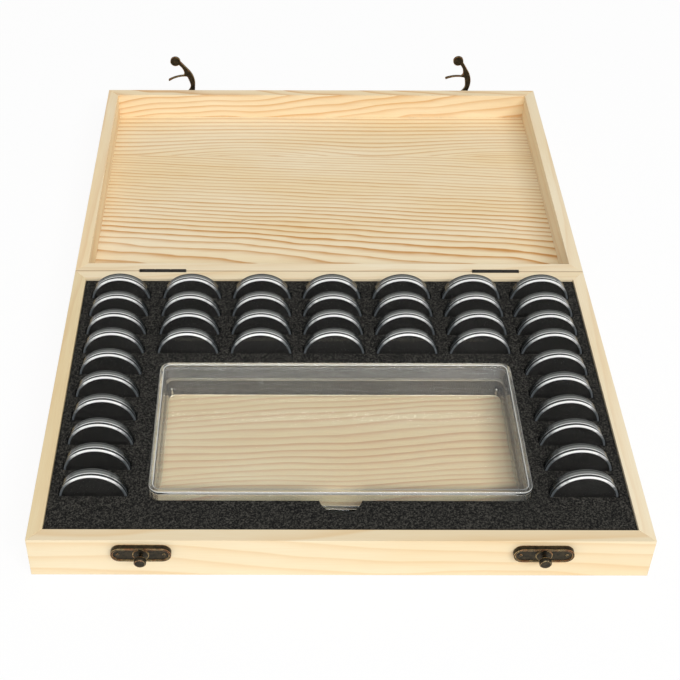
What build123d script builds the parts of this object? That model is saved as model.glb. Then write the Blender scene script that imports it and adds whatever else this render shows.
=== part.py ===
# Coin storage box in pine, open, with its lid folded back flat behind the tray.
# The tray holds a foam insert with upright round coin capsules and a clear case for notes.
# Origin: centre of the tray's underside. +X to the right, +Y to the back, +Z up. Millimetres.
import os
from math import copysign, cos, radians, sin

from build123d import *

os.makedirs("parts", exist_ok=True)

# Coin capsules and the clear case for notes, which the box is made to hold
capsule_diameter = 32.8
capsule_thickness = 5.2
capsule_sides = 24  # flats in place of the round, to keep 40 of them light
capsule_floor_gap = 0.2
case_width = 182.5
case_depth = 89.2
case_corner = 5.5
case_wall = 1.8
case_tray_height = 12.2
case_cover_height = 12.8
case_lip_height = 1.3  # raised round the cover's top
case_lip_width = 2.4
case_tongue_height = 2.0
case_tongue_wall = 0.8
case_tongue_gap = 0.1

# Foam insert
slot_gap = 0.4  # at each end of a capsule
slot_play = 0.6  # in front of a capsule
slot_back_gap = 0.2  # behind a capsule
pocket_gap = 0.5  # round the case
pocket_shift = 0.8  # of the case and the inner columns to the right of the middle
notch_width = 20.5  # finger notch in front of the case
notch_depth = 8.0
columns = 7
full_rows = 4  # rows that run right across, behind the case
row_ribs = [9.0, 9.0, 9.0, 10.3, 10.7, 10.7, 10.7, 10.7, 10.7]  # foam between the rows, from the back
outer_rib = 4.4  # foam between the outer columns and the side walls
side_rib = 8.45  # foam between the outer columns and the case
case_rib = 12.1  # foam between the full rows and the case
back_rib = 9.5
front_rib = 18.6
foam_gap = 0.2  # all round, to the walls
foam_to_rim = 1.5

# Wooden box
wall = 6.8
tray_height = 25.0
panel = 4.0  # floor of the tray and top of the lid
panel_lap = 3.4  # how far a panel reaches under the walls
lid_room = 5.7  # over the capsules when shut
rim_gap = 0.2  # between the two rims when shut, and the two rear faces when open

# Catch and hook plates, the same pressing
plate_length = 28.1
plate_width = 9.0
plate_thickness = 2.6
plate_rim = 0.9  # left round the sunk fields
plate_boss_radius = 3.7  # left between the sunk fields
field_depth = 0.5
plate_to_rim = 7.4  # from a plate's centre line to the rim
plate_insets = (52.8, 51.2)  # from the box's left and right side

# Knob on each catch plate, and rivet that carries each hook
neck_radius = 1.0
knob_head_radius = 2.85
knob_head_height = 2.1
knob_edge = 0.4
rivet_head_radius = 2.3
rivet_head_height = 1.0
rivet_gap = 0.08  # in the hook and over it

# Hook
hook_thickness = 1.4
hook_gap = 0.1  # between the plate and the hook
hook_head_gap = 1.4  # between the hook and the knob's head
hook_eye_radius = 3.4
hook_disc_radius = 3.4
hook_disc_place = (-6.75, -27.75)
horn_gap = 0.3  # between the horn and the knob's neck
horn_width = 0.9
horn_rise = 0.7  # how much farther from the pivot the horn is at its tip
horn_swell = 0.3  # how much wider it is there
horn_heel_angle = 1.0
horn_tip_angle = 42.4
hook_turns = (0.0, 10.5)  # how far each hook stands from where its horn holds the knob, in degrees

# Butt hinges
hinge_length = 26.6
hinge_inset = 50.0  # from the box's side to the hinge's middle
leaf_height = 8.5
leaf_thickness = 0.8
leaf_gap = 0.1  # between a leaf and its recess
knuckle_radius = 0.95
knuckle_gap = 0.25
knuckles = 3
pin_radius = 0.4
pin_gap = 0.05
barrel_clearance = 0.2

# Places that follow
slot_length = capsule_diameter + 2 * slot_gap
slot_width = slot_back_gap + capsule_thickness + slot_play
pocket_width = case_width + 2 * pocket_gap
pocket_depth = case_depth + 2 * pocket_gap
outer_column_x = pocket_width / 2 + side_rib + slot_length / 2
full_rows_depth = full_rows * slot_width + sum(row_ribs[: full_rows - 1])
inside_width = 2 * outer_column_x + slot_length + 2 * outer_rib
inside_depth = front_rib + pocket_depth + case_rib + full_rows_depth + back_rib
box_width = inside_width + 2 * wall
box_depth = inside_depth + 2 * wall
case_y = front_rib + pocket_depth / 2 - inside_depth / 2
case_low_z = panel
case_split_z = case_low_z + case_tray_height
capsule_top_z = panel + capsule_floor_gap + capsule_diameter
lid_height = capsule_top_z + lid_room + panel - tray_height - rim_gap
half_depth = box_depth / 2
axis_y = half_depth + rim_gap / 2
axis_z = tray_height + rim_gap / 2
lid_centre_y = 2 * axis_y
lid_low_z = tray_height - lid_height
lid_face_y = lid_centre_y + half_depth
plate_z = tray_height - plate_to_rim
plate_xs = (plate_insets[0] - box_width / 2, box_width / 2 - plate_insets[1])
hinge_xs = (hinge_inset - box_width / 2, box_width / 2 - hinge_inset)
hook_lift = plate_thickness + hook_gap
hook_top = hook_lift + hook_thickness
horn_inner_radius = 2 * plate_to_rim + rim_gap + neck_radius + horn_gap  # about the pivot
horn_outer_radius = horn_inner_radius + horn_width
sides = ("front", "right", "back", "left")


def tray_face(x):
    """Plane on the tray's front face at plate height, looking out to the front."""
    return Plane((x, -half_depth, plate_z), x_dir=(1, 0, 0), z_dir=(0, -1, 0))


def lid_face(x):
    """Plane on the lid's front face at plate height, as seen from the front when the box is shut."""
    return Plane((x, lid_face_y, plate_z), x_dir=(1, 0, 0), z_dir=(0, 1, 0))


def leaf_plane(x, outward):
    """Plane on a rear face at a hinge leaf's centre, looking into the leaf's own wall."""
    height = axis_z - knuckle_radius - barrel_clearance - leaf_height / 2
    return Plane((x, axis_y + outward * rim_gap / 2, height), x_dir=(1, 0, 0), z_dir=(0, outward, 0))


def plane_axis(plane):
    return Axis(plane.origin, plane.z_dir)


def save(sub_part, name):
    sub_part.label = name
    export_step(sub_part, f"parts/{name}.step")


def row_places():
    """Each row of slots from the back: the y of its middle, and the x of each slot in it."""
    pitch = 2 * outer_column_x / (columns - 1)
    for row in range(len(row_ribs) + 1):
        in_row = range(columns) if row < full_rows else (0, columns - 1)
        y = inside_depth / 2 - back_rib - sum(row_ribs[:row]) - (row + 0.5) * slot_width
        inner = range(1, columns - 1)
        shifts = [pocket_shift if column in inner else 0 for column in in_row]
        yield y, [column * pitch - outer_column_x + shift for column, shift in zip(in_row, shifts)]


def mitred_wall(side, centre_y, low_z, height):
    """One wall of a mitred frame, rabbeted below for its panel."""
    outer = [(sx * box_width / 2, sy * box_depth / 2) for sx, sy in ((-1, -1), (1, -1), (1, 1), (-1, 1))]
    inner = [(x - copysign(wall, x), y - copysign(wall, y)) for x, y in outer]
    start = sides.index(side)
    end = (start + 1) % len(sides)
    ground = Plane((0, centre_y, low_z))
    with BuildPart() as board:
        with BuildSketch(ground):
            with BuildLine():
                Polyline(outer[start], outer[end], inner[end], inner[start], close=True)
            make_face()
        extrude(amount=height)
        with BuildSketch(ground):
            Rectangle(inside_width + 2 * panel_lap, inside_depth + 2 * panel_lap)
        extrude(amount=panel, mode=Mode.SUBTRACT)
    return board


def hinge_wall(side, centre_y, low_z, height, outward):
    """A rear wall, let in for the hinge leaves and their barrels."""
    board = mitred_wall(side, centre_y, low_z, height)
    with BuildPart() as let_in:
        add(board.part)
        for x in hinge_xs:
            leaf = leaf_plane(x, outward)
            reach = axis_z - leaf.origin.Z + leaf_height / 2 + leaf_gap
            with BuildSketch(Plane((x, leaf.origin.Y, axis_z), x_dir=(1, 0, 0), z_dir=(0, outward, 0))):
                Rectangle(hinge_length + 2 * leaf_gap, 2 * reach)
            extrude(amount=leaf_thickness + leaf_gap, mode=Mode.SUBTRACT)
            with BuildSketch(Plane((x, axis_y, axis_z), z_dir=(1, 0, 0))):
                Circle(knuckle_radius + barrel_clearance)
            extrude(amount=hinge_length / 2 + leaf_gap, both=True, mode=Mode.SUBTRACT)
    return let_in


def box_half(name, wall_names, centre_y, low_z, height, outward):
    """Four mitred walls and a panel. The walls' names are as the box stands when it is shut."""
    for side, wall_name in zip(sides, wall_names):
        if wall_name == "back":
            board = hinge_wall(side, centre_y, low_z, height, outward)
        else:
            board = mitred_wall(side, centre_y, low_z, height)
        save(board.part, f"{name}_{wall_name}_wall")
    with BuildPart() as board:
        with BuildSketch(Plane((0, centre_y, low_z))):
            Rectangle(inside_width + 2 * panel_lap, inside_depth + 2 * panel_lap)
        extrude(amount=panel)
    save(board.part, f"{name}_panel")


box_half("tray", ("front", "right", "back", "left"), 0, 0, tray_height, -1)
box_half("lid", ("back", "right", "front", "left"), lid_centre_y, lid_low_z, lid_height, 1)

# Foam insert with a slot for each capsule, a pocket for the case and a finger notch
with BuildPart() as foam_insert:
    with BuildSketch(Plane.XY.offset(panel)):
        Rectangle(inside_width - 2 * foam_gap, inside_depth - 2 * foam_gap)
        with Locations((pocket_shift, case_y)):
            RectangleRounded(pocket_width, pocket_depth, case_corner + pocket_gap, mode=Mode.SUBTRACT)
        notch_y = case_y - pocket_depth / 2
        left, right = (
            (pocket_shift - notch_width / 2, notch_y),
            (pocket_shift + notch_width / 2, notch_y),
        )
        with BuildLine():
            ThreePointArc(left, (pocket_shift, notch_y - notch_depth), right)
            Polyline(right, (right[0], case_y), (left[0], case_y), left)
        make_face(mode=Mode.SUBTRACT)
        for y, xs in row_places():
            with Locations(*[(x, y) for x in xs]):
                Rectangle(slot_length, slot_width, mode=Mode.SUBTRACT)
    extrude(amount=tray_height - panel - foam_to_rim)
save(foam_insert.part, "foam_insert")

# Coin capsules, upright in their slots, one node for each row
for row, (slot_y, xs) in enumerate(row_places(), 1):
    back_y = slot_y + slot_width / 2 - slot_back_gap
    centre_z = capsule_top_z - capsule_diameter / 2
    with BuildPart() as capsules:
        with BuildSketch(Plane((0, back_y, centre_z), x_dir=(1, 0, 0), z_dir=(0, -1, 0))):
            with Locations(*[(x, 0) for x in xs]):
                RegularPolygon(capsule_diameter / 2, capsule_sides)
        extrude(amount=capsule_thickness)
    save(capsules.part, f"capsules_row_{row}")


def case_outline(height, inset):
    """Sketch at this height of the case's outline, this far in from its outer faces."""
    with BuildSketch(Plane((pocket_shift, case_y, height))) as outline:
        RectangleRounded(case_width - 2 * inset, case_depth - 2 * inset, case_corner - inset)
    return outline.sketch


# Note case: a tray with a tongue round its rim and a cover with a raised lip
tongue_inset = case_wall - case_tongue_wall
with BuildPart() as note_case_tray:
    extrude(case_outline(case_low_z, 0), amount=case_tray_height)
    extrude(case_outline(case_split_z, tongue_inset), amount=case_tongue_height)
    extrude(
        case_outline(case_low_z + case_wall, case_wall),
        amount=case_tray_height + case_tongue_height,
        mode=Mode.SUBTRACT,
    )
save(note_case_tray.part, "note_case_tray")

with BuildPart() as note_case_cover:
    extrude(case_outline(case_split_z, 0), amount=case_cover_height)
    extrude(
        case_outline(case_split_z + case_cover_height, case_lip_width),
        amount=-case_lip_height,
        mode=Mode.SUBTRACT,
    )
    extrude(
        case_outline(case_split_z, case_wall),
        amount=case_cover_height - case_lip_height - case_wall,
        mode=Mode.SUBTRACT,
    )
    extrude(
        case_outline(case_split_z, tongue_inset - case_tongue_gap),
        amount=case_tongue_height + case_tongue_gap,
        mode=Mode.SUBTRACT,
    )
save(note_case_cover.part, "note_case_cover")


def pressed_plate(plane):
    """Plate with two sunk fields, and its rim and a boss left round them."""
    with BuildPart() as plate:
        with BuildSketch(plane):
            SlotOverall(plate_length, plate_width)
        extrude(amount=plate_thickness)
        with BuildSketch(plane.offset(plate_thickness)):
            SlotOverall(plate_length - 2 * plate_rim, plate_width - 2 * plate_rim)
            Circle(plate_boss_radius, mode=Mode.SUBTRACT)
        extrude(amount=-field_depth, mode=Mode.SUBTRACT)
    return plate


def stud(plane, head_radius, head_start, head_height):
    """Round head on a thin neck that stands on a plate."""
    with BuildPart() as piece:
        with BuildSketch(plane.offset(plate_thickness)):
            Circle(neck_radius)
        extrude(amount=head_start - plate_thickness)
        with BuildSketch(plane.offset(head_start)):
            Circle(head_radius)
        extrude(amount=head_height)
    return piece


# Catch on the tray and hook plate on the lid
for word, x in zip(("left", "right"), plate_xs):
    save(pressed_plate(tray_face(x)).part, f"catch_plate_{word}")
    save(pressed_plate(lid_face(x)).part, f"hook_plate_{word}")
    rivet = stud(lid_face(x), rivet_head_radius, hook_top + rivet_gap, rivet_head_height)
    save(rivet.part, f"hook_rivet_{word}")
    with BuildPart() as knob:
        add(stud(tray_face(x), knob_head_radius, hook_top + hook_head_gap, knob_head_height).part)
        front = knob.faces().sort_by(plane_axis(tray_face(x)))[-1]
        chamfer(front.edges(), knob_edge)
    save(knob.part, f"catch_knob_{word}")


def hook_plane(x, turn):
    """The lid's face plane, lifted to the hook and turned about its pivot."""
    face = lid_face(x).offset(hook_lift)
    return Plane(face.origin, x_dir=face.x_dir * cos(turn) + face.y_dir * sin(turn), z_dir=face.z_dir)


def horn_point(radius, angle):
    """Point at this angle to the left of straight down from the pivot."""
    return -radius * sin(radians(angle)), -radius * cos(radians(angle))


# Hook, drawn as it hangs from its pivot when the box is shut and its horn holds the knob's neck
for word, x, turn in zip(("left", "right"), plate_xs, hook_turns):
    with BuildPart() as hook:
        with BuildSketch(hook_plane(x, radians(turn))):
            with BuildLine():
                shoulder = ThreePointArc((2.4, 2.3), (5.0, -2.6), (5.8, -8.0))
                back = ThreePointArc(shoulder @ 1, (5.6, -14.2), (2.6, -20.6))
                nape = Line(back @ 1, (-4.0, -28.3))
                neck = ThreePointArc((-4.6, -25.2), (-2.2, -22.4), (-1.0, -18.6))
                Line(nape @ 1, neck @ 0)
                crotch = horn_point(horn_outer_radius, 6.0)
                Line(neck @ 1, crotch)
                middle = horn_tip_angle / 2
                tip_start = horn_tip_angle - 2.0
                tip_out = horn_point(horn_outer_radius + horn_rise + horn_swell, tip_start)
                tip_in = horn_point(horn_inner_radius + horn_rise, tip_start)
                ThreePointArc(crotch, horn_point(horn_outer_radius + 0.4 * horn_rise, middle), tip_out)
                ThreePointArc(
                    tip_out,
                    horn_point(horn_inner_radius + horn_rise + horn_width / 2, horn_tip_angle),
                    tip_in,
                )
                heel = horn_point(horn_inner_radius, horn_heel_angle)
                ThreePointArc(tip_in, horn_point(horn_inner_radius + 0.4 * horn_rise, middle), heel)
                seat = ThreePointArc(heel, (0.95, -15.8), (1.3, -14.9))
                throat = ThreePointArc(seat @ 1, (2.15, -12.6), (2.75, -10.4))
                front = TangentArc(throat @ 1, (2.3, -6.8), tangent=throat % 1)
                chin = TangentArc(front @ 1, (-1.6, -2.6), tangent=front % 1)
                Line(chin @ 1, shoulder @ 0)
            make_face()
            Circle(hook_eye_radius)
            with Locations(hook_disc_place):
                Circle(hook_disc_radius)
            Circle(neck_radius + rivet_gap, mode=Mode.SUBTRACT)
        extrude(amount=hook_thickness)
    save(hook.part, f"hook_{word}")


def knuckle_plane(x, index):
    """Plane across the hinge's axis at the start of this knuckle."""
    start = x - hinge_length / 2 + index * hinge_length / knuckles + knuckle_gap / 2
    return Plane((start, axis_y, axis_z), x_dir=(0, 1, 0), z_dir=(1, 0, 0))


def hinge_leaf(x, outward, first):
    """A leaf with every second knuckle, from the first or the second one on."""
    plane = leaf_plane(x, outward)
    reach = axis_z - plane.origin.Z
    with BuildPart() as leaf:
        with BuildSketch(plane):
            Rectangle(hinge_length, leaf_height)
        extrude(amount=leaf_thickness)
        for index in range(first, knuckles, 2):
            with BuildSketch(knuckle_plane(x, index)):
                Circle(knuckle_radius)
                with Locations((outward * (rim_gap + leaf_thickness) / 2, -reach / 2)):
                    Rectangle(leaf_thickness, reach)
            extrude(amount=hinge_length / knuckles - knuckle_gap)
    return leaf


# Each tray leaf holds the pin, on which the lid leaf's middle knuckle turns
for word, x in zip(("left", "right"), hinge_xs):
    tray_leaf = hinge_leaf(x, -1, 0)
    lid_leaf = hinge_leaf(x, 1, 1)
    with BuildPart() as pinned_leaf:
        add(tray_leaf.part)
        with BuildSketch(Plane((x, axis_y, axis_z), z_dir=(1, 0, 0))):
            Circle(pin_radius)
        extrude(amount=hinge_length / 2 - knuckle_gap / 2, both=True)
    save(pinned_leaf.part, f"tray_hinge_leaf_{word}")
    with BuildPart() as bored_leaf:
        add(lid_leaf.part)
        with BuildSketch(Plane((x, axis_y, axis_z), z_dir=(1, 0, 0))):
            Circle(pin_radius + pin_gap)
        extrude(amount=hinge_length / 2, both=True, mode=Mode.SUBTRACT)
    save(bored_leaf.part, f"lid_hinge_leaf_{word}")
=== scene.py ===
import math

import bmesh
import bpy
from mathutils import Euler, Matrix, Vector


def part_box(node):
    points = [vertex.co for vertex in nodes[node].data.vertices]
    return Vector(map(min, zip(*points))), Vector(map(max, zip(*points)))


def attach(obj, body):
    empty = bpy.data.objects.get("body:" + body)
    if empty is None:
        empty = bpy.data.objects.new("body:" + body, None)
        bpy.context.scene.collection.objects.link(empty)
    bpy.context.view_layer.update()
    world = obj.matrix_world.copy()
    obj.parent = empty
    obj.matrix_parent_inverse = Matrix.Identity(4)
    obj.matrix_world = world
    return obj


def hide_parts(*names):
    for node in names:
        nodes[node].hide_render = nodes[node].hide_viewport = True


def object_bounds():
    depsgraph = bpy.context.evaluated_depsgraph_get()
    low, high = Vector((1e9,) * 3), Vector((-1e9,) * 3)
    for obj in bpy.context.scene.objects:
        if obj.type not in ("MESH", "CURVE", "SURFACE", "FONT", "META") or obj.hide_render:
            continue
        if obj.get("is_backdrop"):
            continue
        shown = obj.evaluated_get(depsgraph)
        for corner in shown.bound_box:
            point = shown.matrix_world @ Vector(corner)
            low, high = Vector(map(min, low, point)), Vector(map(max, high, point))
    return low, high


# Coin storage box, dressed for rendering: pine boards, foam, clear capsules and case, bronze hardware.
# Metres, in the frame of the CAD model: +X right, +Y back, +Z up, the tray's underside at 0.

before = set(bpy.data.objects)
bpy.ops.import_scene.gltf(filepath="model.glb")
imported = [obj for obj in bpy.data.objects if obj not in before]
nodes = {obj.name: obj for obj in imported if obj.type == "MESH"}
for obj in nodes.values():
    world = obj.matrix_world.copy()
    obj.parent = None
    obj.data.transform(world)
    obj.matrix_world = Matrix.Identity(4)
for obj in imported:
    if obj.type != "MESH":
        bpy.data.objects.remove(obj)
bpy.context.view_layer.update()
MM = 0.001
WHITE = (1, 1, 1, 1)
PLASTIC_IOR = 1.49
merge_distance = 0.002 * MM  # joins the separate faces of a CAD mesh


def box_of(*names):
    """Lowest and highest corner round these CAD nodes."""
    corners = [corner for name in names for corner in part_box(name)]
    return Vector(map(min, *corners)), Vector(map(max, *corners))


def place_piece(shape, name):
    """A new object in the scene, with the mesh of this bmesh."""
    mesh = bpy.data.meshes.new(name)
    shape.to_mesh(mesh)
    made = bpy.data.objects.new(name, mesh)
    bpy.context.scene.collection.objects.link(made)
    return made


def add_to(shape, part):
    """Joins all of one bmesh to another."""
    carrier = bpy.data.meshes.new("carrier")
    part.to_mesh(carrier)
    shape.from_mesh(carrier)
    bpy.data.meshes.remove(carrier)


class Shading:
    """A material with short calls for the nodes that it is built from."""

    def __init__(self, name, roughness=0.5, **settings):
        self.material = bpy.data.materials.new(name)
        self.material.use_nodes = True
        self.tree = self.material.node_tree
        self.surface = self.tree.nodes["Principled BSDF"]
        self.output = self.tree.nodes["Material Output"]
        self.set("Roughness", roughness)
        for key, value in settings.items():
            self.set(key.replace("_", " "), value)

    def set(self, socket, value):
        """A number or colour on the shader's own socket, or a link to it."""
        if isinstance(value, bpy.types.NodeSocket):
            self.tree.links.new(value, self.surface.inputs[socket])
        else:
            self.surface.inputs[socket].default_value = value

    def node(self, kind, inputs=(), **settings):
        made = self.tree.nodes.new("ShaderNode" + kind)
        for key, value in settings.items():
            setattr(made, key, value)
        for key, value in dict(inputs).items():
            if isinstance(value, bpy.types.NodeSocket):
                self.tree.links.new(value, made.inputs[key])
            else:
                made.inputs[key].default_value = value
        return made

    def place(self):
        return self.node("TexCoord").outputs["Object"]

    def math(self, operation, *values, clamp=False):
        return self.node("Math", enumerate(values), operation=operation, use_clamp=clamp).outputs[0]

    def noise(self, place, scale, detail=2.0, roughness=0.5):
        inputs = {"Vector": place, "Scale": scale, "Detail": detail, "Roughness": roughness}
        return self.node("TexNoise", inputs).outputs["Fac"]

    def stretched(self, place, factors):
        return self.node("VectorMath", {0: place, 1: factors}, operation="MULTIPLY").outputs[0]

    def between(self, value, low, high, new_low=0.0, new_high=1.0):
        inputs = {
            "Value": value, "From Min": low, "From Max": high,
            "To Min": new_low, "To Max": new_high,
        }
        return self.node("MapRange", inputs).outputs["Result"]

    def mix(self, factor, first, second, blend="MIX"):
        made = self.node("Mix", {"Factor": factor}, data_type="RGBA", blend_type=blend)
        for socket, value in (("A_Color", first), ("B_Color", second)):
            target = next(s for s in made.inputs if s.identifier == socket)
            if isinstance(value, bpy.types.NodeSocket):
                self.tree.links.new(value, target)
            else:
                target.default_value = value
        return next(s for s in made.outputs if s.identifier == "Result_Color")

    def bump(self, height, strength, distance):
        inputs = {"Height": height, "Strength": strength, "Distance": distance}
        self.set("Normal", self.node("Bump", inputs).outputs["Normal"])


def colour(red, green, blue):
    """Linear colour from 8-bit screen values."""
    return tuple(((value / 255 + 0.055) / 1.055) ** 2.4 for value in (red, green, blue)) + (1.0,)


# Colours of pine: two of the early wood and one of the late wood
CREAM = (colour(247, 235, 206), colour(242, 223, 185), colour(218, 175, 118))
GOLDEN = (colour(248, 232, 198), colour(243, 219, 174), colour(216, 160, 94))
RIM = (colour(236, 220, 180), colour(230, 206, 158), colour(206, 154, 92))
LID_PANEL = (colour(249, 237, 206), colour(245, 225, 181), colour(204, 148, 82))
BLEACHED = (colour(235, 221, 190), colour(232, 213, 176), colour(221, 184, 130))
# Tones for the tray panel: the wood's colour made paler with painted light, which makes up for the
# light that the clear case keeps off it
UNDER_CASE_PAINTED_LIGHT = (colour(254, 248, 222), colour(251, 241, 207), colour(226, 178, 130))


def pine(name, grain="X", tones=CREAM, late=0.6, shift=0.0, strips=(), fade=None, seam=None):
    """Planed pine, from one or more strips side by side.

    tones are the early wood's two colours and the late wood's. Each of strips is a dict:
    start, where it begins across the grain in mm (the first one needs none); log, where the axis
    of its rings lies across the grain and in height; tilt, how far that axis drifts for each mm
    along the grain; pitch of the rings; sway, how far they wander; hump, a wave in the rings as
    (where along the grain, length, height, how far across it fades). The late wood pales across
    the grain between the two places in fade. seam is where across the grain the edge is darkened
    with painted shade.
    """
    shade = Shading(name, roughness=0.55, IOR=1.45)
    axes = shade.node("SeparateXYZ", {0: shade.stretched(shade.place(), (1 / MM,) * 3)}).outputs
    along, across = (axes["X"], axes["Y"]) if grain == "X" else (axes["Y"], axes["X"])
    height = axes["Z"]
    local = shade.node("CombineXYZ", {"X": along, "Y": across, "Z": height}).outputs[0]
    offset = (shift, shift * 0.7, shift * 0.3)
    local = shade.node("VectorMath", {0: local, 1: offset}, operation="ADD").outputs[0]

    def drift(factors):
        """Slow noise about 0, longest along the grain."""
        return shade.math("SUBTRACT", shade.noise(shade.stretched(local, factors), 1.0), 0.5)

    sway = drift((0.007, 0.02, 0.02))
    ripple = drift((0.03, 0.12, 0.12))
    ripple_by = 1.4

    def rings(log, tilt=(0.0, 0.0), pitch=4.0, sway_by=10.0, hump=None, start=None):
        """How far through a year's growth each point is, from 0 to 1."""
        side = across
        if hump:
            at, length, rise, reach = hump
            turn = shade.math("MULTIPLY", shade.math("SUBTRACT", along, at), 2 * math.pi / length)
            wave = shade.math("MULTIPLY_ADD", shade.math("COSINE", turn), 0.5 * rise, 0.5 * rise)
            away = shade.math("DIVIDE", shade.math("SUBTRACT", across, start), -reach)
            wave = shade.math("MULTIPLY", wave, shade.math("EXPONENT", away))
            side = shade.math("SUBTRACT", across, wave)
        off_across = shade.math("SUBTRACT", shade.math("MULTIPLY_ADD", along, -tilt[0], side), log[0])
        off_height = shade.math("SUBTRACT", shade.math("MULTIPLY_ADD", along, -tilt[1], height), log[1])
        squares = [shade.math("POWER", off, 2.0) for off in (off_across, off_height)]
        radius = shade.math("SQRT", shade.math("ADD", *squares))
        radius = shade.math("MULTIPLY_ADD", sway, sway_by, radius)
        radius = shade.math("MULTIPLY_ADD", ripple, ripple_by, radius)
        return shade.math("DIVIDE", radius, pitch)

    turns = rings(**strips[0])
    for strip in strips[1:]:
        beyond = shade.math("GREATER_THAN", across, strip["start"])
        either = {"Factor": beyond, "A": turns, "B": rings(**strip)}
        turns = shade.node("Mix", either, data_type="FLOAT").outputs[0]
    ring = shade.math("FRACT", turns)
    count = {"W": shade.math("FLOOR", turns)}
    year = shade.node("TexWhiteNoise", count, noise_dimensions="1D").outputs["Value"]
    band = shade.math("POWER", shade.between(ring, 0.3, 0.9), 2.0)
    edge = shade.between(ring, 0.9, 1.0, 1.0, 0.0)
    band = shade.math("MULTIPLY", band, edge, clamp=True)
    patch = shade.between(shade.noise(shade.stretched(local, (0.008, 0.03, 0.03)), 1.0, 3.0), 0.3, 0.7)
    strength = shade.math("MULTIPLY", band, shade.between(patch, 0.0, 1.0, late * 0.75, late))
    strength = shade.math("MULTIPLY", strength, shade.between(year, 0.0, 1.0, 0.55, 1.0))
    if fade:
        strength = shade.math("MULTIPLY", strength, shade.between(across, *fade, 1.0, 0.6))
    fibre = shade.noise(shade.stretched(local, (0.06, 3.0, 3.0)), 1.0, 3.0, 0.6)
    base = shade.mix(patch, tones[0], tones[1])
    base = shade.mix(strength, base, tones[2])
    base = shade.mix(shade.between(fibre, 0.35, 0.75, 0.0, 0.2), base, tones[2])
    if seam:
        # Painted shade: the edge darkens towards the seam between the back walls of the tray and the
        # lid
        away = shade.math("ABSOLUTE", shade.math("SUBTRACT", across, seam))
        seam_shade = shade.between(away, 0.25, 0.6, 0.5, 0.0)
        base = shade.mix(seam_shade, base, colour(140, 98, 58))
    shade.set("Base Color", base)
    shade.set("Roughness", shade.between(strength, 0.0, 0.6, 0.6, 0.5))
    shade.bump(shade.math("MULTIPLY_ADD", fibre, 0.6, band), 0.12, 0.1 * MM)
    return shade.material


def wear_ready(obj, width, segments=2, angle=50):
    """Joins the CAD mesh's separate faces and rounds its sharp edges, as modifiers over the mesh."""
    weld = obj.modifiers.new("join_faces", "WELD")
    weld.merge_threshold = merge_distance
    bevel = obj.modifiers.new("soft_edges", "BEVEL")
    bevel.width = width
    bevel.segments = segments
    bevel.limit_method = "ANGLE"
    bevel.angle_limit = math.radians(angle)
    bevel.harden_normals = True
    bevel.use_clamp_overlap = True


def dress(name, material):
    """Gives a CAD node this material."""
    data = nodes[name].data
    data.materials.clear()
    data.materials.append(material)


def board(log, **more):
    """The strips of a board cut in one piece."""
    return [dict(log=log, **more)]


lid_join_y = 239.0  # where the lid panel's two strips meet
seam_y = (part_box("tray_back_wall")[1].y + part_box("lid_back_wall")[0].y) / 2 / MM
boards = {
    "tray_front_wall": pine(
        "pine_tray_front", tones=BLEACHED, late=0.65, shift=11.0,
        strips=board((-60.0, -36.0), tilt=(0.0, -0.05), pitch=7.0, sway_by=16.0),
    ),
    "tray_back_wall": pine(
        "pine_tray_back", late=0.35, seam=seam_y, shift=37.0,
        strips=board((40.0, -30.0), tilt=(0.0, 0.03), pitch=5.0),
    ),
    "tray_left_wall": pine(
        "pine_tray_left", "Y", tones=RIM, late=0.35, shift=53.0,
        strips=board((-190.0, -30.0), tilt=(0.0, 0.05), pitch=6.0),
    ),
    "tray_right_wall": pine(
        "pine_tray_right", "Y", late=0.4, shift=71.0,
        strips=board((200.0, -26.0), tilt=(0.0, -0.04), pitch=6.0),
    ),
    "tray_panel": pine(
        "pine_tray_panel", tones=UNDER_CASE_PAINTED_LIGHT, late=0.75, shift=5.0,
        strips=board((-150.0, -40.0), tilt=(0.08, 0.0), pitch=4.3, sway_by=18.0),
    ),
    "lid_front_wall": pine(
        "pine_lid_front", tones=GOLDEN, late=1.0, shift=19.0,
        strips=board((318.0, -16.0), tilt=(0.0, 0.08), pitch=3.2, sway_by=18.0),
    ),
    "lid_back_wall": pine(
        "pine_lid_back", late=0.4, seam=seam_y, shift=83.0,
        strips=board((70.0, -40.0), tilt=(0.0, 0.03), pitch=5.0),
    ),
    "lid_left_wall": pine(
        "pine_lid_left", "Y", tones=GOLDEN, late=0.5, shift=29.0,
        strips=board((-200.0, -30.0), tilt=(0.0, 0.04), pitch=6.0),
    ),
    "lid_right_wall": pine(
        "pine_lid_right", "Y", late=0.4, shift=61.0,
        strips=board((190.0, -20.0), tilt=(0.0, -0.04), pitch=6.0),
    ),
    "lid_panel": pine(
        "pine_lid_panel", tones=LID_PANEL, late=1.7, shift=3.0, fade=(165.0, 200.0),
        strips=[
            dict(log=(106.0, -88.0), tilt=(-0.03, -0.035), pitch=2.4, sway_by=5.0),
            dict(
                log=(236.0, 6.0), tilt=(0.0, 0.0), pitch=4.8, sway_by=2.0,
                start=lid_join_y, hump=(-49.0, 170.0, 19.0, 13.0),
            ),
        ],
    ),
}
for name, material in boards.items():
    dress(name, material)
    wear_ready(nodes[name], 0.25 * MM)


def clean_copy(name, new_name):
    """A CAD node's mesh in a new object, with its faces joined and flat shading."""
    shape = bmesh.new()
    shape.from_mesh(nodes[name].data)
    bmesh.ops.remove_doubles(shape, verts=shape.verts, dist=merge_distance)
    for face in shape.faces:
        face.smooth = False
    made = place_piece(shape, new_name)
    made.matrix_world = nodes[name].matrix_world
    return made


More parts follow.
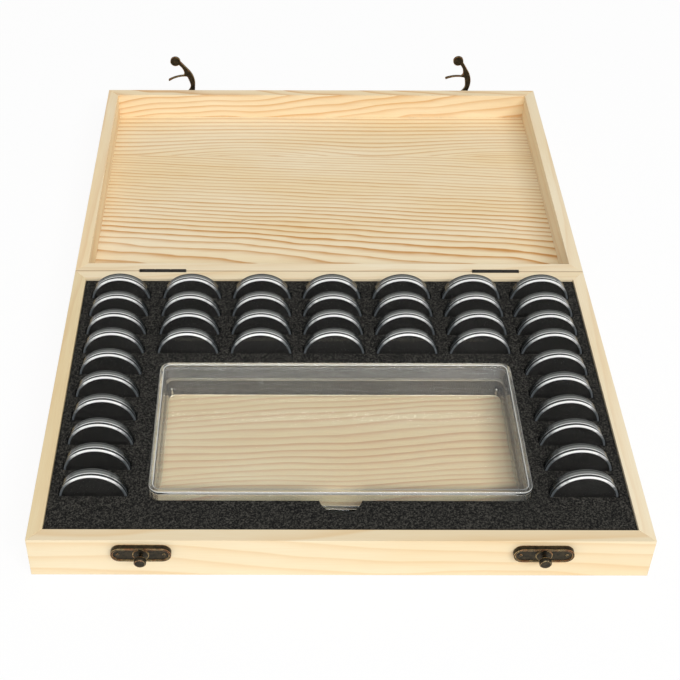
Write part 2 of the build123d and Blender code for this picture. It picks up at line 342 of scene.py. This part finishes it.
def foam_material():
    """Charcoal foam with fine open cells."""
    shade = Shading("charcoal_foam", roughness=0.95, Specular_IOR_Level=0.25)
    place = shade.place()
    cells = shade.node("TexVoronoi", {"Vector": place, "Scale": 1500.0}).outputs["Distance"]
    speckle = shade.noise(place, 1300.0, 3.0, 0.7)
    blotch = shade.noise(place, 60.0, 2.0)
    base = shade.mix(shade.between(speckle, 0.45, 0.66), colour(3, 3, 3), colour(82, 80, 74))
    base = shade.mix(shade.between(blotch, 0.3, 0.7, 0.0, 0.2), base, colour(24, 24, 23))
    shade.set("Base Color", base)
    shade.bump(shade.math("ADD", cells, speckle), 0.9, 0.35 * MM)
    return shade.material


foam = clean_copy("foam_insert", "foam_insert_soft")
foam.data.materials.append(foam_material())
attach(foam, "tray")
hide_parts("foam_insert")


def let_lamps_through(shade, tint):
    """Lamps shine through this material without bending."""
    path = shade.node("LightPath").outputs
    thin = shade.node("BsdfTransparent", {"Color": tint}).outputs[0]
    made = shade.node("MixShader", {0: path["Is Shadow Ray"], 1: shade.surface.outputs[0], 2: thin})
    shade.tree.links.new(made.outputs[0], shade.output.inputs["Surface"])


def clear_plastic(name):
    """Clear moulded plastic with faint flow marks."""
    shade = Shading(name, roughness=0.02, IOR=PLASTIC_IOR, Transmission_Weight=1.0, Base_Color=WHITE)
    flow = shade.noise(shade.stretched(shade.place(), (40.0, 120.0, 40.0)), 1.0, 2.0)
    shade.bump(flow, 0.04, 0.2 * MM)
    let_lamps_through(shade, (0.985, 0.985, 0.985, 1))
    return shade.material


def case_plastic(name, wall_clear):
    """Clear plastic, a little milky in the walls and lip, which let the share wall_clear through."""
    shade = Shading(name, roughness=0.03, IOR=PLASTIC_IOR)
    low, high = box_of("note_case_tray", "note_case_cover")
    centre, half = (low + high) / 2, (high - low) / 2
    axes = shade.node("SeparateXYZ", {0: shade.place()}).outputs
    inside = []
    for axis, at, reach in (("X", centre.x, half.x), ("Y", centre.y, half.y)):
        off = shade.math("ABSOLUTE", shade.math("SUBTRACT", axes[axis], at))
        inside.append(shade.math("SUBTRACT", reach, off))
    edge = shade.between(shade.math("MINIMUM", *inside), 1.9 * MM, 2.2 * MM, 1.0, 0.0)
    shade.set("Transmission Weight", shade.between(edge, 0.0, 1.0, 0.998, wall_clear))
    flow = shade.noise(shade.stretched(shade.place(), (30.0, 90.0, 200.0)), 1.0, 2.0)
    milky = shade.math("MULTIPLY", edge, shade.between(flow, 0.3, 0.7))
    shade.set("Base Color", shade.mix(milky, WHITE, colour(222, 226, 222)))
    shade.bump(flow, 0.03, 0.2 * MM)
    let_lamps_through(shade, WHITE)
    return shade.material


def painted_light_plastic(name, tint, low_tint, clear, low_clear, roughness):
    """Moulded rim with painted light: tint and clear at the top of its circle, a painted highlight,
    and low_tint and low_clear below.
    """
    shade = Shading(name, roughness=roughness, IOR=PLASTIC_IOR)
    streak = shade.noise(shade.place(), 300.0, 3.0, 0.6)
    # Painted highlight: lighter towards the top of each circle, darker below
    up = shade.node("Attribute", attribute_name="up").outputs["Fac"]
    up = shade.between(shade.math("MULTIPLY_ADD", streak, 0.5, up), 0.75, 1.1)
    shade.set("Base Color", shade.mix(up, low_tint, tint))
    shade.set("Transmission Weight", shade.between(up, 0.0, 1.0, low_clear, clear))
    let_lamps_through(shade, (0.7, 0.7, 0.7, 1))
    return shade.material


def liner_material(name, dark, light):
    """Dark speckled sheet or crevice."""
    shade = Shading(name, roughness=0.6, Specular_IOR_Level=0.3)
    speckle = shade.noise(shade.place(), 900.0, 3.0, 0.7)
    shade.set("Base Color", shade.mix(shade.between(speckle, 0.4, 0.7), dark, light))
    return shade.material


def lathe(shape, profile, steps, slots):
    """Adds a round body about Y to the shape, from a profile of (radius, y) points.

    slots has the material slot of each span. The attribute up says how near each point is to the
    top of its circle, from 1 there to -1 at the bottom.
    """
    up = shape.verts.layers.float.get("up") or shape.verts.layers.float.new("up")
    rings = []
    for radius, y in profile:
        if radius == 0:
            rings.append([shape.verts.new((0, y, 0))] * steps)
            continue
        turns = [2 * math.pi * step / steps for step in range(steps)]
        ring = [shape.verts.new((radius * math.sin(a), y, radius * math.cos(a))) for a in turns]
        for vertex, a in zip(ring, turns):
            vertex[up] = math.cos(a)
        rings.append(ring)
    for first, second, slot in zip(rings, rings[1:], slots):
        for step in range(steps):
            after = (step + 1) % steps
            corners = [first[step], first[after], second[after], second[step]]
            unique = [v for i, v in enumerate(corners) if v not in corners[:i]]
            if len(unique) > 2:
                face = shape.faces.new(unique)
                face.material_index = slot
                face.smooth = True


def rounded(points, slots, radius, steps=4):
    """The outline with each corner between its two ends rounded, and the slot of each span."""
    result, new_slots = [points[0]], []
    for before, corner, after, slot in zip(points, points[1:], points[2:], slots):
        here, back, on = Vector(corner), Vector(before) - Vector(corner), Vector(after) - Vector(corner)
        reach = min(radius, back.length * 0.45, on.length * 0.45)
        start, end = here + back.normalized() * reach, here + on.normalized() * reach
        for step in range(steps + 1):
            t = step / steps
            result.append(tuple(start * (1 - t) ** 2 + here * 2 * t * (1 - t) + end * t ** 2))
            new_slots.append(slot)
    return result + [points[-1]], new_slots + [slots[-1]]


column_break = 5.2 * MM  # more than any step in x between the points of one capsule


def columns_of(name):
    """The x of the middle of each capsule in this node."""
    xs = sorted((nodes[name].matrix_world @ vertex.co).x for vertex in nodes[name].data.vertices)
    starts = [0] + [i + 1 for i, (a, b) in enumerate(zip(xs, xs[1:])) if b - a > column_break]
    ends = [start - 1 for start in starts[1:]] + [-1]
    return [(xs[start] + xs[end]) / 2 for start, end in zip(starts, ends)]


capsule_steps = 80
row_low, row_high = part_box("capsules_row_1")
capsule_radius = (row_high.z - row_low.z) / 2
capsule_depth = row_high.y - row_low.y
cap_share = 0.33  # of the depth, in front of the joint
joint_gap = 0.5 * MM
window_set_back = 0.5 * MM
window_thickness = 0.8 * MM
rim_width = 1.3 * MM
wall_thickness = 1.0 * MM
rim_softness = 0.5 * MM
base_step = 0.12 * MM  # by which the base's radius is less than the cap's
liner_gap = 0.15 * MM  # to each window
liner_rim_gap = 0.4 * MM
liner_softness = 0.2 * MM
CLEAR, FRONT_RIM, CAP_SIDE, BASE_SIDE, BACK_EDGE, JOINT, LINER = range(7)
cap_bands = [(1.0 * MM, CAP_SIDE)]
base_bands = [(0.8 * MM, BACK_EDGE), (2.95 * MM, BASE_SIDE), (3.0 * MM, FRONT_RIM)]


def capsule_half(front_y, joint_y, outer_radius, rim_slot, bands):
    """Profile of one half: a window set back from the front of a rounded rim.

    bands are the rim's outer side as (distance from the front, slot), each band ending there.
    """
    inward = 1 if joint_y > front_y else -1
    window = outer_radius - rim_width
    window_y = front_y + inward * window_set_back
    inner_y = window_y + inward * window_thickness
    points = [
        (0, window_y),
        (window, window_y),
        (window, front_y),
        (outer_radius, front_y),
        *[(outer_radius, front_y + inward * at) for at, slot in bands],
        (outer_radius, joint_y),
        (outer_radius - wall_thickness, joint_y),
        (outer_radius - wall_thickness, inner_y),
        (0, inner_y),
    ]
    sides = [slot for at, slot in bands]
    slots = [CLEAR, CLEAR, rim_slot, *sides, sides[-1], JOINT, CLEAR, CLEAR]
    return rounded(points, slots, rim_softness)


def capsule_mesh():
    """A cap in front and a base behind it, pushed together with a fine joint, round a black liner."""
    front = -capsule_depth / 2
    joint = front + cap_share * capsule_depth
    base_radius = capsule_radius - base_step
    liner_front = front + window_set_back + window_thickness + liner_gap
    liner_radius = capsule_radius - wall_thickness - liner_rim_gap
    liner = [
        (0, liner_front), (liner_radius, liner_front),
        (liner_radius, -liner_front), (0, -liner_front),
    ]
    shape = bmesh.new()
    for profile, slots in (
        capsule_half(front, joint - joint_gap / 2, capsule_radius, FRONT_RIM, cap_bands),
        capsule_half(-front, joint + joint_gap / 2, base_radius, BASE_SIDE, base_bands),
        rounded(liner, [LINER] * 3, liner_softness),
    ):
        lathe(shape, profile, capsule_steps, slots)
    bmesh.ops.recalc_face_normals(shape, faces=shape.faces)
    whole = bpy.data.meshes.new("coin_capsule")
    shape.to_mesh(whole)
    return whole


capsule = capsule_mesh()
# The rims' greys are painted light: a near-white painted highlight on the front rims, lighter and
# darker painted greys on the sides of cap and base, and painted shade on the back edge
capsule_materials = [
    clear_plastic("clear_capsule"),
    painted_light_plastic("front_rim_painted_highlight", colour(250, 250, 248), colour(120, 126, 130), 0.0, 0.5, 0.12),
    painted_light_plastic("cap_side_painted_light", colour(92, 94, 92), colour(50, 52, 52), 0.5, 0.8, 0.15),
    painted_light_plastic("base_side_painted_light", colour(132, 135, 131), colour(70, 74, 74), 0.35, 0.8, 0.15),
    painted_light_plastic("back_edge_painted_shade", colour(70, 72, 70), colour(40, 42, 42), 0.5, 0.8, 0.2),
    liner_material("dark_joint", colour(30, 31, 32), colour(58, 60, 60)),
    liner_material("black_liner", colour(8, 8, 8), colour(34, 33, 30)),
]
for row in range(1, 11):
    node = f"capsules_row_{row}"
    low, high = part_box(node)
    shape = bmesh.new()
    for x in columns_of(node):
        copy = capsule.copy()
        copy.transform(Matrix.Translation((x, (low.y + high.y) / 2, (low.z + high.z) / 2)))
        shape.from_mesh(copy)
        bpy.data.meshes.remove(copy)
    row_piece = place_piece(shape, node + "_clear")
    for material in capsule_materials:
        row_piece.data.materials.append(material)
    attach(row_piece, node)
    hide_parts(node)


WALL, EDGE = range(2)
case_corner = 5.5 * MM
least_corner = 0.2 * MM
case_wall = 1.8 * MM
flat_start = 12 * MM  # inset at which one flat face closes a profile
lip_edge = 0.4 * MM
lip_width = 2.4 * MM
lip_height = 1.3 * MM
tongue_inset = 1.0 * MM
seam_gap = 0.15 * MM  # to each side of the seam's middle
tongue_gap = 0.1 * MM
peg_radius = 0.6 * MM
peg_dome = [(0, 0.3 * MM), (0.45 * MM, 0.2 * MM), (peg_radius, 0)]
peg_steps = 16


def case_loop(shape, centre, half, inset, z, steps=8):
    """Ring of vertices round a rounded rectangle, this far in from the case's outside."""
    ring = []
    radius = max(case_corner - inset, least_corner)
    for turn, (sx, sy) in enumerate(((1, 1), (-1, 1), (-1, -1), (1, -1))):
        x = centre.x + sx * (half.x - inset - radius)
        y = centre.y + sy * (half.y - inset - radius)
        for step in range(steps + 1):
            a = math.pi / 2 * (turn + step / steps)
            ring.append(shape.verts.new((x + radius * math.cos(a), y + radius * math.sin(a), z)))
    return ring


def case_half(name, body, profile, soft, wall_clear, pegs=()):
    """Half of the clear case, with the corners of its profile rounded by soft.

    The profile has (inset from the case's outside, height, slot of the span) points. pegs has the
    x, y, top and height of each peg.
    """
    new_name = name + "_clear"
    low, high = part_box(name)
    points, slots = rounded([point[:2] for point in profile], [point[2] for point in profile], soft)
    shape = bmesh.new()
    for x, y, z, height in pegs:
        peg = bmesh.new()
        lathe(peg, [*peg_dome, (peg_radius, -height)], peg_steps, [EDGE, EDGE, WALL])
        bmesh.ops.rotate(peg, verts=peg.verts, matrix=Matrix.Rotation(math.pi / 2, 3, "X"))
        bmesh.ops.translate(peg, verts=peg.verts, vec=(x, y, z))
        add_to(shape, peg)
    rings = [case_loop(shape, (low + high) / 2, (high - low) / 2, inset, z) for inset, z in points]
    for first, second, slot in zip(rings, rings[1:], slots):
        for index in range(len(first)):
            after = (index + 1) % len(first)
            face = shape.faces.new((first[index], first[after], second[after], second[index]))
            face.material_index = slot
            face.smooth = True
    shape.faces.new(rings[0])
    shape.faces.new(reversed(rings[-1]))
    bmesh.ops.recalc_face_normals(shape, faces=shape.faces)
    made = place_piece(shape, new_name)
    made.data.materials.append(case_plastic(new_name, wall_clear))
    made.data.materials.append(edge_painted_highlight)
    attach(made, body)
    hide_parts(name)


# Painted highlight: a near-white band on the lip's rounded edges and on the pegs' domes, the EDGE faces
edge_painted_highlight = painted_light_plastic(
    "case_edge_painted_highlight", colour(238, 240, 236), colour(238, 240, 236), 0.45, 0.45, 0.1
)
tray_low, tray_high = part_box("note_case_tray")
cover_low, cover_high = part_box("note_case_cover")
seam_z = cover_low.z
tongue_top = tray_high.z + tongue_gap
lip_floor = cover_high.z - lip_height
peg_reach = (4.2 * MM, 4.8 * MM, 3.1 * MM)  # from the case's left, right and back sides to the pegs
peg_top, peg_height = 11.7 * MM, 6.2 * MM
case_pegs = [
    (tray_low.x + peg_reach[0], tray_high.y - peg_reach[2], peg_top, peg_height),
    (tray_high.x - peg_reach[1], tray_high.y - peg_reach[2], peg_top, peg_height),
]
case_half("note_case_tray", "note_case", [
    (flat_start, tray_low.z, WALL),
    (0, tray_low.z, WALL),
    (0, seam_z - seam_gap, WALL),
    (tongue_inset, seam_z - seam_gap, WALL),
    (tongue_inset, tray_high.z, WALL),
    (case_wall, tray_high.z, WALL),
    (case_wall, tray_low.z + case_wall, WALL),
    (flat_start, tray_low.z + case_wall, WALL),
], 0.5 * MM, 0.995, case_pegs)
case_half("note_case_cover", "note_case_cover", [
    (flat_start, lip_floor, WALL),
    (lip_width, lip_floor, WALL),
    (lip_width, cover_high.z - lip_edge, EDGE),
    (lip_width - lip_edge, cover_high.z, WALL),
    (lip_edge, cover_high.z, EDGE),
    (0, cover_high.z - lip_edge, WALL),
    (0, seam_z + seam_gap, WALL),
    (tongue_inset - tongue_gap, seam_z + seam_gap, WALL),
    (tongue_inset - tongue_gap, tongue_top, WALL),
    (case_wall, tongue_top, WALL),
    (case_wall, lip_floor - case_wall, WALL),
    (flat_start, lip_floor - case_wall, WALL),
], 0.45 * MM, 0.955)


def bronze_material():
    """Antique bronze: dark in the hollows, with rubbed brassy and reddish edges."""
    shade = Shading("antique_bronze", roughness=0.38, Metallic=0.85)
    place = shade.place()
    rounded_normal = shade.node("Bevel", {"Radius": 0.5 * MM}, samples=6).outputs[0]
    flat_normal = shade.node("NewGeometry").outputs["Normal"]
    normals = {0: rounded_normal, 1: flat_normal}
    turn = shade.node("VectorMath", normals, operation="DOT_PRODUCT").outputs["Value"]
    edge = shade.between(turn, 0.995, 0.88)
    worn = shade.between(shade.noise(place, 700.0, 3.0, 0.6), 0.35, 0.65)
    rubbed = shade.math("MULTIPLY", edge, shade.between(worn, 0.0, 1.0, 0.5, 1.0), clamp=True)
    dark = shade.mix(worn, colour(36, 34, 28), colour(70, 62, 48))
    reddish = shade.between(shade.noise(place, 260.0), 0.45, 0.6)
    brass = shade.mix(reddish, colour(255, 222, 160), colour(240, 168, 112))
    shade.set("Base Color", shade.mix(rubbed, dark, brass))
    shade.set("Roughness", shade.between(worn, 0.0, 1.0, 0.34, 0.5))
    shade.bump(shade.noise(place, 1200.0, 2.0), 0.15, 0.05 * MM)
    return shade.material


bronze = bronze_material()
black_steel = liner_material("blackened_steel", colour(16, 14, 13), colour(40, 34, 30))
hardware = [name for name in nodes if name.startswith(("catch_", "hook_")) or "hinge_leaf" in name]
for name in hardware:
    dress(name, black_steel if "hinge" in name else bronze)
    wear_ready(nodes[name], 0.22 * MM)


nail_reach = 10.7 * MM  # from the plate's middle to each nail
nail_sink = 0.5 * MM  # depth of the plate's sunk fields
nail_dome = [(0, 0.45 * MM), (0.4 * MM, 0.4 * MM), (0.75 * MM, 0.22 * MM), (0.85 * MM, 0.0), (0, 0.0)]
nail_steps = 20


def nail_heads(body, plate, outward):
    """Two domed nail heads on a plate, one at each side, on the face that looks outward along Y."""
    low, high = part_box(plate)
    face_y = low.y if outward < 0 else high.y
    seat_y = face_y - outward * nail_sink
    profile = [(radius, outward * rise) for radius, rise in nail_dome]
    heads = bmesh.new()
    for side in (-1, 1):
        head = bmesh.new()
        lathe(head, profile, nail_steps, [0] * (len(profile) - 1))
        at = ((low.x + high.x) / 2 + side * nail_reach, seat_y, (low.z + high.z) / 2)
        bmesh.ops.translate(head, verts=head.verts, vec=at)
        add_to(heads, head)
    bmesh.ops.recalc_face_normals(heads, faces=heads.faces)
    made = place_piece(heads, plate + "_nails")
    made.data.materials.append(bronze)
    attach(made, body)


for side in ("left", "right"):
    nail_heads("tray", "catch_plate_" + side, -1)
    nail_heads("lid", "hook_plate_" + side, 1)


# The floor is mostly plain white where the camera sees it, also through clear plastic
floor_half = 6
floor_drop = 0.02 * MM  # below the tray's underside
plain_white = 0.9
floor_corners = [(x * floor_half, y * floor_half, 0) for x, y in ((-1, -1), (1, -1), (1, 1), (-1, 1))]
floor_mesh = bpy.data.meshes.new("floor")
floor_mesh.from_pydata(floor_corners, [], [(0, 1, 2, 3)])
floor = bpy.data.objects.new("floor", floor_mesh)
floor.location.z = -floor_drop
bpy.context.scene.collection.objects.link(floor)
floor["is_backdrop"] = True
floor_shade = Shading("pale_floor", roughness=0.9, Base_Color=colour(251, 251, 251))
white = floor_shade.node("Emission", {"Color": WHITE, "Strength": 1.0}).outputs[0]
path = floor_shade.node("LightPath").outputs
seen = floor_shade.math("MAXIMUM", path["Is Camera Ray"], path["Is Transmission Ray"])
share = floor_shade.math("MULTIPLY", seen, plain_white)
floor_mix = floor_shade.node("MixShader", {0: share, 1: floor_shade.surface.outputs[0], 2: white})
floor_shade.tree.links.new(floor_mix.outputs[0], floor_shade.output.inputs["Surface"])
floor_mesh.materials.append(floor_shade.material)

# The world is white to the camera and lights the box at half that
world_light, world_seen = 0.5, 1.0
world = bpy.data.worlds.new("studio")
bpy.context.scene.world = world
world.use_nodes = True
sky = world.node_tree
background = sky.nodes["Background"]
background.inputs["Color"].default_value = WHITE
sky_path = sky.nodes.new("ShaderNodeLightPath")
strength = sky.nodes.new("ShaderNodeMapRange")
strength.inputs["To Min"].default_value = world_light
strength.inputs["To Max"].default_value = world_seen
sky.links.new(sky_path.outputs["Is Camera Ray"], strength.inputs["Value"])
sky.links.new(strength.outputs["Result"], background.inputs["Strength"])


def soft_light(name, place, target, size, power):
    """A rectangular lamp turned towards its target."""
    lamp = bpy.data.lights.new(name, "AREA")
    lamp.shape = "RECTANGLE"
    lamp.size, lamp.size_y = size
    lamp.energy = power
    made = bpy.data.objects.new(name, lamp)
    made.location = place
    made.rotation_euler = (Vector(target) - Vector(place)).to_track_quat("-Z", "Y").to_euler()
    bpy.context.scene.collection.objects.link(made)


soft_light("key", (0.7, -2.2, 2.1), target=(0, 0.08, 0), size=(3.0, 0.55), power=74.0)

# The camera that fits the photo's straight edges, with its optical axis off the picture's middle
image_side = 680.0
focal_px = 1326.48
optical_axis_px = (278.8, 286.06)
camera = bpy.data.cameras.new("camera")
camera.sensor_width = 36.0
camera.lens = camera.sensor_width * focal_px / image_side
camera.shift_x = (image_side / 2 - optical_axis_px[0]) / image_side
camera.shift_y = (optical_axis_px[1] - image_side / 2) / image_side
viewer = bpy.data.objects.new("camera", camera)
viewer.location = (-28.81 * MM, -488.23 * MM, 505.92 * MM)
pitch, yaw, roll = -40.03, 0.07, -0.09
viewer.rotation_euler = Euler((math.radians(90 + pitch), math.radians(roll), math.radians(yaw)))
bpy.context.scene.collection.objects.link(viewer)
bpy.context.scene.camera = viewer

bpy.context.scene.view_settings.view_transform = "Standard"

low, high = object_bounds()
